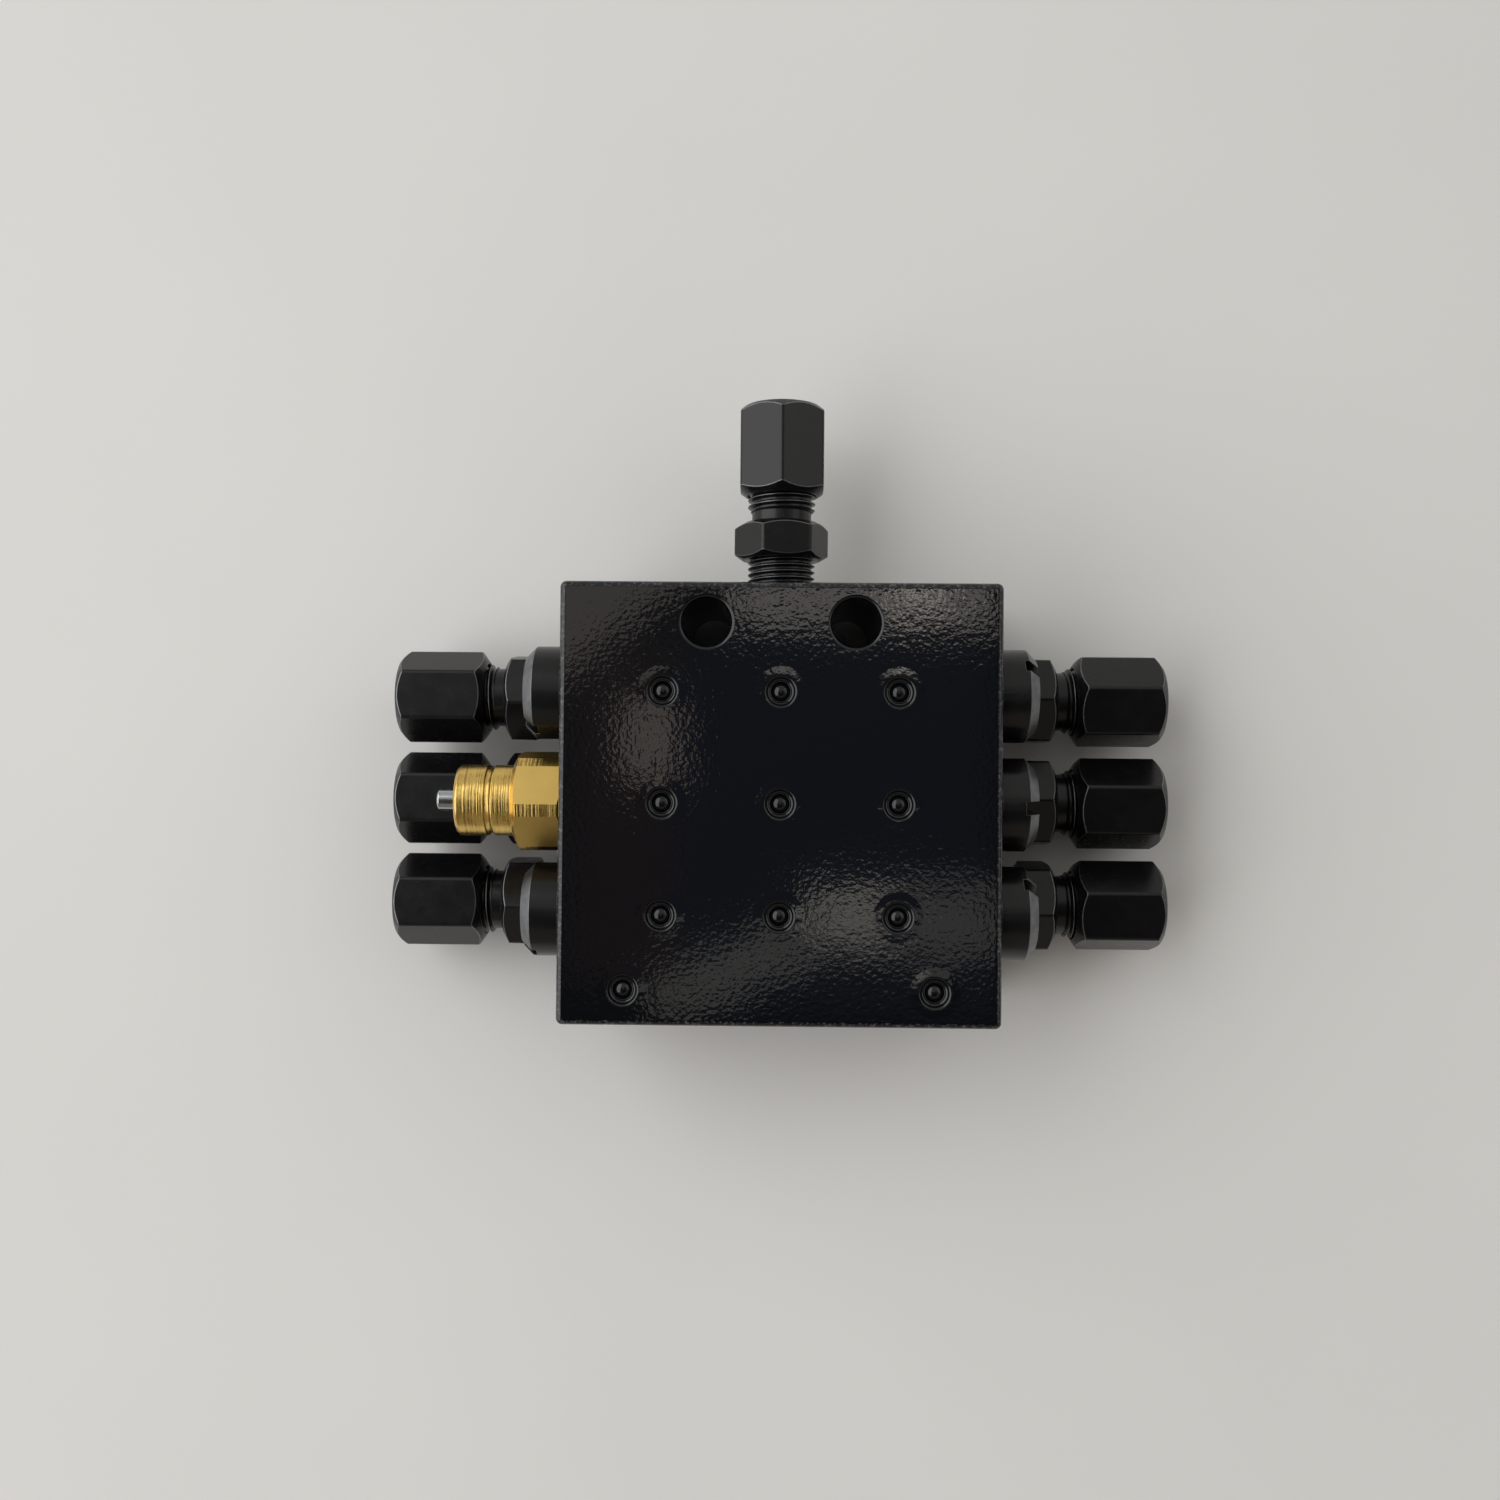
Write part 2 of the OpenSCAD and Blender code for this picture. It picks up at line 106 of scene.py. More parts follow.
# Ceiling panels that show in the glossy front face: centre and size in metres, turn, brightness, tint
CEILING = {
    "panel_top": ((0.076, 0.15, 1.03), (0.23, 0.04), 0, 1.8, "#fff7ee"),
    "panel_lamp": ((0.122, 0.155, 1.02), (0.045, 0.022), 0, 3.2, "#fff4e6"),
    "panel_corner": ((-0.16, 0.175, 1.03), (0.2, 0.12), 35.5, 0.85, "#fff4ea"),
    "panel_left": ((-0.1045, 0.031, 1.03), (0.045, 0.072), 0, 1.1, "#fff0e2"),
    "panel_low": ((0.11, -0.121, 1.03), (0.164, 0.062), 0, 0.65, "#fbf5e8"),
    "panel_core": ((0.07, -0.115, 1.02), (0.07, 0.036), 0, 1.2, "#fff6e6"),
    "panel_slant": ((-0.032, -0.162, 1.03), (0.15, 0.04), 23.5, 0.75, "#fbf7ea"),
    "panel_warm": ((-0.13, -0.03, 1.05), (0.103, 0.3), 0, 0.09, "#ffd0c4"),
    "panel_cool": ((0.058, -0.04, 1.05), (0.273, 0.327), 0, 0.08, "#b4c6ff"),
}


def linear(hex_colour):
    """Turns an sRGB hex colour into linear red, green and blue."""
    values = [int(hex_colour[i : i + 2], 16) / 255 for i in (1, 3, 5)]
    return tuple(v / 12.92 if v <= 0.04045 else ((v + 0.055) / 1.055) ** 2.4 for v in values)


def length(name, description, millimetres, low=0.0):
    """A size in metres that a user can change."""
    return bpy.props.FloatProperty(
        name=name,
        description=description,
        default=millimetres * MM,
        min=low,
        precision=5,
        subtype="DISTANCE",
        unit="LENGTH",
    )


def level(name, description, default, unit="NONE"):
    """A brightness or a power that a user can change."""
    return bpy.props.FloatProperty(name=name, description=description, default=default, min=0.0, unit=unit)


def colour(name, description, hex_colour):
    """A surface colour that a user can change."""
    return bpy.props.FloatVectorProperty(
        name=name,
        description=description,
        default=linear(hex_colour),
        min=0.0,
        max=1.0,
        size=3,
        subtype="COLOR",
    )


class DividerSizes(bpy.types.PropertyGroup):
    """Sizes of the modelled pieces."""

    block_edge: length("Block edge", "Rounding of the painted chamfer along the edges of the block", 0.85)
    edge_round: length("Edge rounding", "Rounding left by paint and tumbling on sharp edges", 0.1)
    bolt_hole: length("Bolt hole", "Diameter of the two mounting holes", 6.6)
    bowl: length("Ball bowl", "Diameter of the bowl around each ball plug", 4.4)
    ball: length("Ball", "Diameter of the ball plugs", 3.0)
    fitting_flats: length("Fitting flats", "Fitting body hexagon across flats", 12.0)
    nut_flats: length("Nut flats", "Union nut across flats", 12.0)
    hex_corner: length("Hexagon corner", "Rounding of the long corners of the drawn hexagon bar", 0.4)
    stud_crest: length("Stud thread", "Crest diameter of the stud thread", 9.7)
    stud_pitch: length("Stud pitch", "Pitch of the stud thread, 28 turns an inch", 0.907)
    coupling_crest: length("Coupling thread", "Crest diameter of the coupling thread", 9.8)
    coupling_pitch: length("Coupling pitch", "Pitch of the coupling thread", 1.0)
    relief: length("Relief", "Diameter of the relief behind the coupling thread", 8.6)
    outlet_show: length("Outlet stud", "Stud length between block and outlet hexagon", 5.3)
    inlet_show: length("Inlet stud", "Stud length between block and inlet hexagon", 5.0)
    plug_head: length("Plug head", "Diameter of the screw plug heads", 13.0)
    plug_rise: length("Plug rise", "Height of the screw plug heads above the block", 5.4)
    plug_chamfer: length("Plug chamfer", "Chamfer on the screw plug heads", 1.4)
    slot_width: length("Slot width", "Width of the screwdriver slots", 1.8)
    slot_depth: length("Slot depth", "Depth of the screwdriver slots", 2.0)
    housing_flats: length("Housing flats", "Indicator housing across flats", 13.0)
    housing_corner: length("Housing corners", "Radius to which the housing's corners are turned", 7.056)
    housing_hex: length("Housing hexagon", "Length of the housing's hexagon", 6.9)
    nose: length("Nose", "Diameter of the housing's round nose", 9.9)
    nose_length: length("Nose length", "Length of the nose beyond the hexagon", 8.0)
    nose_groove: length("Nose groove", "Distance of the nose's groove from the hexagon", 2.8)
    pin: length("Pin", "Diameter of the indicator pin", 3.0)


class DividerColours(bpy.types.PropertyGroup):
    """Colours of the finishes and of the stage."""

    enamel: colour("Enamel", "Black enamel on the block", "#0a0c10")
    oxide: colour("Black oxide", "Black oxide on fittings, nuts and plugs", "#101012")
    # Bare steel of worn edges, also used to paint highlights on edges, crests and chamfers
    bare_edge_and_highlight: colour("Bare edge", "Steel that shows where the black is worn through", "#8d8f92")
    brass: colour("Brass", "Brass of the indicator housing", "#efcd7a")
    steel: colour("Steel", "Ground steel of pin, pistons and cutting rings", "#b4b6b9")
    rubber: colour("Rubber", "Seal rubber", "#131314")
    floor: colour("Floor", "Pale floor under the part", "#ecebe9")


class DividerStage(bpy.types.PropertyGroup):
    """Camera and light."""

    camera_height: length("Camera height", "Height of the camera above the mounting face", 220.0)
    camera_x: length("Camera X", "Camera place along the row of outlets", -1.2277, low=-1.0)
    camera_y: length("Camera Y", "Camera place towards the inlet", 4.2677, low=-1.0)
    camera_lean: bpy.props.FloatVectorProperty(
        name="Camera lean",
        description="Small turns of the camera about X, Y and its own view",
        default=(0.0156, 0.0150, 0.0086),
        size=3,
        subtype="EULER",
        unit="ROTATION",
    )
    focal: bpy.props.FloatProperty(
        name="Focal length",
        description="Focal length on a 36 mm sensor, in millimetres",
        default=33.894,
        min=10.0,
        subtype="DISTANCE_CAMERA",
    )
    key_power: level("Key light", "Watts of the large soft light on the left", 11.2, "POWER")
    fill_power: level("Fill light", "Watts of the small soft light on the right", 0.8, "POWER")
    sky: level("Sky", "Brightness of the room towards the inlet", 0.58)
    ceiling: level("Ceiling panels", "Brightness of the ceiling panels that show in the enamel", 1.0)


# Modelling steps that the pieces share


def clear_selection():
    """Leaves object mode with nothing selected."""
    if bpy.context.object and bpy.context.object.mode != "OBJECT":
        bpy.ops.object.mode_set(mode="OBJECT")
    bpy.ops.object.select_all(action="DESELECT")


def only(piece):
    """Makes one piece the selected and active one."""
    clear_selection()
    piece.select_set(True)
    bpy.context.view_layer.objects.active = piece


def draw_profile(name, profile):
    """Draws a line through points of radius and height in millimetres, and stays in edit mode."""
    clear_selection()
    radius, height = profile[0]
    bpy.ops.mesh.primitive_plane_add(size=MM, location=(radius * MM, 0, height * MM))
    piece = bpy.context.object
    piece.name = name
    bpy.ops.object.transform_apply(location=True, rotation=True, scale=True)
    bpy.ops.object.mode_set(mode="EDIT")
    bpy.ops.mesh.select_mode(type="VERT")
    bpy.ops.mesh.select_all(action="SELECT")
    bpy.ops.mesh.merge(type="CENTER")
    for (r0, z0), (r1, z1) in zip(profile, profile[1:]):
        step = ((r1 - r0) * MM, 0, (z1 - z0) * MM)
        bpy.ops.mesh.extrude_region_move(TRANSFORM_OT_translate={"value": step})
    return piece


def lathe(name, profile, steps=STEPS):
    """Spins a profile about the Z axis into a closed piece."""
    piece = draw_profile(name, profile)
    bpy.ops.mesh.select_all(action="SELECT")
    bpy.ops.mesh.spin(steps=steps, angle=math.tau, center=(0, 0, 0), axis=(0, 0, 1))
    close_mesh()
    bpy.ops.object.mode_set(mode="OBJECT")
    return piece


def close_mesh():
    """In edit mode, merges seams and poles and turns all faces outwards."""
    bpy.ops.mesh.select_all(action="SELECT")
    bpy.ops.mesh.remove_doubles(threshold=0.0005 * MM)
    bpy.ops.mesh.dissolve_degenerate(threshold=0.0002 * MM)
    bpy.ops.mesh.select_all(action="SELECT")
    bpy.ops.mesh.normals_make_consistent(inside=False)


def apply_modifier(piece, kind, **settings):
    """Adds a modifier to the piece, sets it and applies it."""
    only(piece)
    bpy.ops.object.modifier_add(type=kind)
    modifier = piece.modifiers[-1]
    for key, value in settings.items():
        setattr(modifier, key, value)
    bpy.ops.object.modifier_apply(modifier=modifier.name)


def remove(piece):
    """Deletes a tool or a model with its mesh."""
    mesh = piece.data
    bpy.data.objects.remove(piece)
    bpy.data.meshes.remove(mesh)


def combine(piece, tool, operation):
    """Joins, cuts or intersects the piece with a tool, which is used up."""
    apply_modifier(piece, "BOOLEAN", object=tool, operation=operation, solver="EXACT")
    remove(tool)
    if not piece.data.polygons:
        raise RuntimeError("nothing was left of " + piece.name)
    return piece


def soften(piece, width, finish_index=-1):
    """Rounds every sharp edge by a width in metres; the rounding may take a finish of its own."""
    apply_modifier(
        piece,
        "BEVEL",
        width=width,
        segments=2,
        limit_method="ANGLE",
        angle_limit=math.radians(28),
        use_clamp_overlap=True,
        miter_outer="MITER_ARC",
        material=finish_index,
    )


def two_finishes(piece):
    """Makes room for two finishes, the second one for rubbed or machined faces that also carry a painted
    highlight.
    """
    piece.data.materials.append(None)
    piece.data.materials.append(None)


def smooth(piece, angle=32):
    """Merges the slivers that cuts leave, then shades the piece smooth with its flats kept flat."""
    only(piece)
    bpy.ops.object.mode_set(mode="EDIT")
    close_mesh()
    bpy.ops.object.mode_set(mode="OBJECT")
    bpy.ops.object.shade_smooth_by_angle(angle=math.radians(angle))
    apply_modifier(piece, "WEIGHTED_NORMAL", keep_sharp=True, weight=50)


def hex_bar(name, flats, start, end, cone_in, cone_out, turned=None):
    """A hexagon bar with flats facing X; a cone is the radius and slope of the chamfer on an end."""
    sizes = bpy.context.scene.divider_sizes
    clear_selection()
    corner = flats / math.sqrt(3)
    # The bar is longer than the piece, and the turned envelope cuts it to length
    bpy.ops.mesh.primitive_cylinder_add(
        vertices=6, radius=corner, depth=(end - start + 2) * MM, location=(0, 0, (start + end) / 2 * MM)
    )
    piece = bpy.context.object
    piece.name = name
    two_finishes(piece)
    bpy.ops.object.transform_apply(location=True, rotation=True, scale=True)
    for edge in piece.data.edges:
        a, b = (piece.data.vertices[i].co for i in edge.vertices)
        edge.select = abs(a.z - b.z) > MM
    bpy.ops.object.mode_set(mode="EDIT")
    bpy.ops.mesh.select_mode(type="EDGE")
    bpy.ops.mesh.bevel(offset=sizes.hex_corner, segments=4, profile=0.5, clamp_overlap=False)
    bpy.ops.object.mode_set(mode="OBJECT")
    wide = turned or corner / MM + 0.5
    (radius_in, slope_in), (radius_out, slope_out) = cone_in, cone_out
    low = start + (wide - radius_in) * math.tan(math.radians(slope_in))
    high = end - (wide - radius_out) * math.tan(math.radians(slope_out))
    envelope = lathe(
        name + "_envelope",
        [(0, start), (radius_in, start), (wide, low), (wide, high), (radius_out, end), (0, end)],
    )
    return combine(piece, envelope, "INTERSECT")


def thread(name, crest, pitch, start, end):
    """A right-handed thread rod between two heights in millimetres, spun by the Screw modifier."""
    p = pitch / MM
    r = crest / MM / 2
    depth = 0.6 * p
    # Rounded crest and root of a sixty degree thread, over one pitch
    shape = [
        (0.00, r - 0.02 * p),
        (0.06, r),
        (0.12, r - 0.02 * p),
        (0.43, r - depth + 0.03 * p),
        (0.56, r - depth),
        (0.69, r - depth + 0.03 * p),
    ]
    turns = math.ceil((end - start) / p) + 3
    bottom = start - 1.5 * p
    profile = [(radius, bottom + (k + part) * p) for k in range(turns) for part, radius in shape]
    piece = draw_profile(name, profile)
    bpy.ops.object.mode_set(mode="OBJECT")
    apply_modifier(
        piece,
        "SCREW",
        axis="Z",
        angle=math.tau,
        screw_offset=pitch,
        iterations=1,
        steps=STEPS,
        render_steps=STEPS,
        use_merge_vertices=True,
        merge_threshold=0.001 * MM,
    )
    bpy.ops.object.mode_set(mode="EDIT")
    bpy.ops.mesh.select_all(action="SELECT")
    bpy.ops.mesh.remove_doubles(threshold=0.001 * MM)
    for height, outer in ((start, False), (end, True)):
        bpy.ops.mesh.select_all(action="SELECT")
        bpy.ops.mesh.bisect(
            plane_co=(0, 0, height * MM),
            plane_no=(0, 0, 1),
            use_fill=True,
            clear_inner=not outer,
            clear_outer=outer,
            threshold=0.00001 * MM,
        )
    bpy.ops.mesh.select_all(action="SELECT")
    bpy.ops.mesh.normals_make_consistent(inside=False)
    bpy.ops.object.mode_set(mode="OBJECT")
    return piece


def copy_to(model, name, place):
    """Copies a model with its own mesh and puts the place into the mesh."""
    only(model)
    bpy.ops.object.duplicate()
    piece = bpy.context.object
    piece.name = name
    piece.data.name = name
    piece.matrix_world = place
    bpy.ops.object.transform_apply(location=True, rotation=True, scale=True)
    return piece


def node_axis(node):
    """The middle of a CAD node's box."""
    low, high = (Vector(corner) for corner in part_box(node))
    return (low + high) / 2


def side_place(side, node, turn):
    """Place of a piece whose axis points out of a side face, turned in degrees about that axis."""
    sign = SIDES[side]
    middle = node_axis(node)
    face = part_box("divider_block")[1][0] * sign
    return (
        Matrix.Translation((face, middle.y, middle.z))
        @ Matrix.Rotation(sign * math.pi / 2, 4, "Y")
        @ Matrix.Rotation(sign * math.radians(turn), 4, "Z")
    )


def inlet_place(turn):
    """Place of a piece whose axis points out of the inlet face, turned in degrees about that axis."""
    middle = node_axis("inlet_body")
    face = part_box("divider_block")[1][1]
    return (
        Matrix.Translation((middle.x, face, middle.z))
        @ Matrix.Rotation(-math.pi / 2, 4, "X")
        @ Matrix.Rotation(math.pi / 2 + math.radians(turn), 4, "Z")
    )


def dress(piece, materials, body, slot, *nodes):
    """Gives a finished piece its materials and its body and hides the CAD nodes it stands for; the slot is
    not used.
    """
    while len(piece.data.materials) < len(materials):
        piece.data.materials.append(None)
    for index, material in enumerate(materials):
        piece.data.materials[index] = material
    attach(piece, body)
    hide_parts(*nodes)


# Materials


def add_node(tree, kind, settings=None, links=None):
    """Adds a node, sets its properties and sockets and links its inputs."""
    node = tree.nodes.new(kind)
    for key, value in (settings or {}).items():
        if isinstance(key, str) and hasattr(node, key):
            setattr(node, key, value)
        else:
            node.inputs[key].default_value = value
    for key, source in (links or {}).items():
        tree.links.new(source, node.inputs[key])
    return node


def new_material(name, settings):
    """A material with these shader settings; returns it with its tree, shader and coordinates."""
    material = bpy.data.materials.new(name)
    material.use_nodes = True
    tree = material.node_tree
    shader = tree.nodes["Principled BSDF"]
    for key, value in settings.items():
        shader.inputs[key].default_value = value
    place = add_node(tree, "ShaderNodeTexCoord").outputs["Object"]
    return material, tree, shader, place


def per_mm(size):
    """Scale of a pattern whose repeat is a size in millimetres."""
    return 1 / (size * MM)


def toned(tone, factor):
    """A lighter or darker tone of a colour."""
    return tuple(factor * c for c in tone)


def two_tone(tree, shader, place, repeat, tones, detail, roughness=0.5):
    """Drifts the base colour between two tones over a repeat in millimetres; returns drift and tint."""
    drift = add_node(
        tree,
        "ShaderNodeTexNoise",
        {"Scale": per_mm(repeat), "Detail": detail, "Roughness": roughness},
        {"Vector": place},
    ).outputs["Fac"]
    first, second = ((*tone, 1) for tone in tones)
    tint = add_node(tree, "ShaderNodeMix", {"data_type": "RGBA", 6: first, 7: second}, {0: drift}).outputs[2]
    tree.links.new(tint, shader.inputs["Base Color"])
    return drift, tint


def enamel_on_steel():
    """Black enamel sprayed on machined steel: deep gloss, orange peel and light specks on the edges, worn
    paint that also stands in for painted highlights there.
    """
    colours = bpy.context.scene.divider_colours
    material, tree, shader, place = new_material("black enamel on steel", {"Roughness": 0.055, "IOR": 1.5})
    low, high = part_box("divider_block")
    # Orange peel lies about a millimetre apart, with a finer ripple on it
    peel = add_node(
        tree,
        "ShaderNodeTexNoise",
        {"Scale": per_mm(0.55), "Detail": 1.0, "Roughness": 0.4},
        {"Vector": place},
    )
    ripple = add_node(tree, "ShaderNodeTexNoise", {"Scale": per_mm(4.5), "Detail": 0.0}, {"Vector": place})
    height = add_node(
        tree,
        "ShaderNodeMath",
        {"operation": "MULTIPLY_ADD", 1: 1.0},
        {0: ripple.outputs["Fac"], 2: peel.outputs["Fac"]},
    )
    bump = add_node(
        tree, "ShaderNodeBump", {"Strength": 1.0, "Distance": 0.011 * MM}, {"Height": height.outputs[0]}
    )
    # A point within the chamfers of two faces at once lies on an edge of the block
    split = add_node(tree, "ShaderNodeSeparateXYZ", links={"Vector": place})
    on_face = []
    for axis in range(3):
        middle = (low[axis] + high[axis]) / 2
        reach = (high[axis] - low[axis]) / 2 - 0.75 * MM
        away = add_node(
            tree, "ShaderNodeMath", {"operation": "SUBTRACT", 1: middle}, {0: split.outputs[axis]}
        )
        size = add_node(tree, "ShaderNodeMath", {"operation": "ABSOLUTE"}, {0: away.outputs[0]})
        near = add_node(
            tree, "ShaderNodeMath", {"operation": "GREATER_THAN", 1: reach}, {0: size.outputs[0]}
        )
        on_face.append(near.outputs[0])
    two = add_node(tree, "ShaderNodeMath", {"operation": "ADD"}, {0: on_face[0], 1: on_face[1]})
    three = add_node(tree, "ShaderNodeMath", {"operation": "ADD"}, {0: two.outputs[0], 1: on_face[2]})
    edge = add_node(
        tree, "ShaderNodeMath", {"operation": "GREATER_THAN", 1: 1.5}, {0: three.outputs[0]}
    )
    # Light specks on the edges: worn paint, and painted highlights of the edges
    speck = add_node(
        tree,
        "ShaderNodeTexNoise",
        {"Scale": per_mm(0.6), "Detail": 3.0, "Roughness": 0.65},
        {"Vector": place},
    )
    worn = add_node(
        tree,
        "ShaderNodeMapRange",
        {"From Min": 0.5, "From Max": 0.76, "To Max": 0.5},
        {"Value": speck.outputs["Fac"]},
    )
    bare_and_highlight = add_node(
        tree, "ShaderNodeMath", {"operation": "MULTIPLY"}, {0: edge.outputs[0], 1: worn.outputs[0]}
    )
    paint = add_node(
        tree,
        "ShaderNodeMix",
        {"data_type": "RGBA", 6: (*colours.enamel, 1), 7: (*colours.bare_edge_and_highlight, 1)},
        {0: bare_and_highlight.outputs[0]},
    )
    tree.links.new(paint.outputs[2], shader.inputs["Base Color"])
    tree.links.new(bump.outputs["Normal"], shader.inputs["Normal"])
    return material


def black_oxide():
    """Oiled black oxide on machined steel: satin near-black with a faint grey mottle."""
    oxide = bpy.context.scene.divider_colours.oxide
    material, tree, shader, place = new_material("black oxide on steel", {"IOR": 1.42})
    mottle, _ = two_tone(tree, shader, place, 2.5, (toned(oxide, 0.8), toned(oxide, 1.2)), 4.0, 0.6)
    gloss = add_node(
        tree,
        "ShaderNodeMapRange",
        {"From Min": 0.3, "From Max": 0.7, "To Min": 0.22, "To Max": 0.29},
        {"Value": mottle},
    )
    grain = add_node(tree, "ShaderNodeTexNoise", {"Scale": per_mm(0.25), "Detail": 2.0}, {"Vector": place})
    bump = add_node(
        tree, "ShaderNodeBump", {"Strength": 0.6, "Distance": 0.006 * MM}, {"Height": grain.outputs["Fac"]}
    )
    tree.links.new(gloss.outputs[0], shader.inputs["Roughness"])
    tree.links.new(bump.outputs["Normal"], shader.inputs["Normal"])
    return material


def worn_oxide_and_highlight():
    """Black oxide rubbed thin on edges, crests and turned chamfers: dull grey steel in patches, and a
    painted highlight along these edges.
    """
    bare_and_highlight = bpy.context.scene.divider_colours.bare_edge_and_highlight
    material, tree, shader, place = new_material("rubbed black oxide and painted highlight", {"Metallic": 1.0, "Roughness": 0.38})
    two_tone(tree, shader, place, 1.2, (linear("#4a4b4e"), bare_and_highlight), 4.0, 0.6)
    return material


def plain_brass(name, roughness, bright):
    """Brass with a slow drift of tarnish; returns it with its tree, shader, coordinates and tint."""
    clean = toned(bpy.context.scene.divider_colours.brass, bright)
    tarnished = [c * f for c, f in zip(clean, (0.84, 0.78, 0.66))]
    material, tree, shader, place = new_material(name, {"Metallic": 1.0, "Roughness": roughness})
    _, tint = two_tone(tree, shader, place, 3.0, (clean, tarnished), 3.0)
    return material, tree, shader, place, tint


def drawn_brass():
    """Flats of a drawn brass bar: even satin gold without tool marks."""
    return plain_brass("drawn brass", 0.34, 0.76)[0]


def turned_brass():
    """Free-cutting brass from the lathe: warm yellow gloss in fine uneven rings with dirt in them."""
    material, tree, shader, place, clean = plain_brass("turned brass", 0.26, 0.95)
    along = add_node(tree, "ShaderNodeSeparateXYZ", links={"Vector": place})
    rings = add_node(
        tree,
        "ShaderNodeTexNoise",
        {"noise_dimensions": "1D", "Scale": per_mm(0.3), "Detail": 2.0, "Roughness": 0.6},
        {"W": along.outputs["X"]},
    )
    bump = add_node(
        tree, "ShaderNodeBump", {"Strength": 1.0, "Distance": 0.05 * MM}, {"Height": rings.outputs["Fac"]}
    )
    # Dirt and tarnish stay in the deepest rings, in patches round the piece
    patch = add_node(
        tree,
        "ShaderNodeTexNoise",
        {"Scale": per_mm(1.6), "Detail": 3.0, "Roughness": 0.6},
        {"Vector": place},
    )
    both = {0: rings.outputs["Fac"], 1: patch.outputs["Fac"]}
    mark = add_node(tree, "ShaderNodeMath", {"operation": "MULTIPLY"}, both)
    dirt = add_node(
        tree,
        "ShaderNodeMapRange",
        {"From Min": 0.24, "From Max": 0.38, "To Max": 0.5},
        {"Value": mark.outputs[0]},
    )
    brown = (*linear("#5c431d"), 1)
    tint = add_node(
        tree, "ShaderNodeMix", {"data_type": "RGBA", 7: brown}, {0: dirt.outputs[0], 6: clean}
    )
    tree.links.new(tint.outputs[2], shader.inputs["Base Color"])
    tree.links.new(bump.outputs["Normal"], shader.inputs["Normal"])
    return material


def ground_steel():
    """Ground and hardened steel: bright grey with a fine grinding haze."""
    steel = (*bpy.context.scene.divider_colours.steel, 1)
    material, tree, shader, place = new_material("ground steel", {"Metallic": 1.0, "Base Color": steel})
    haze = add_node(tree, "ShaderNodeTexNoise", {"Scale": per_mm(0.6), "Detail": 3.0}, {"Vector": place})
    rough = add_node(
        tree, "ShaderNodeMapRange", {"To Min": 0.12, "To Max": 0.22}, {"Value": haze.outputs["Fac"]}
    )
    tree.links.new(rough.outputs[0], shader.inputs["Roughness"])
    return material


def seal_rubber():
    """Moulded nitrile rubber: dull black with a faint bloom."""
    rubber = bpy.context.scene.divider_colours.rubber
    material, tree, shader, place = new_material("nitrile rubber", {"IOR": 1.5, "Roughness": 0.6})
    two_tone(tree, shader, place, 0.8, (rubber, toned(rubber, 1.8)), 2.0)
    return material


def pale_floor():
    """Pale painted sheet: matt warm grey with a slow drift of tone."""
    floor = bpy.context.scene.divider_colours.floor
    material, tree, shader, place = new_material("pale painted sheet", {"Roughness": 0.8})
    two_tone(tree, shader, place, 90, (toned(floor, 0.95), toned(floor, 1.04)), 3.0)
    return material


def finish(name, maker):
    """A material by name, made the first time it is asked for."""
    return bpy.data.materials.get(name) or maker()


def oxide_finishes():
    """The black finish of turned steel pieces and its rubbed edges, which carry a painted highlight as well
    as wear.
    """
    return [finish("black oxide on steel", black_oxide), finish("rubbed black oxide and painted highlight", worn_oxide_and_highlight)]


# Pieces


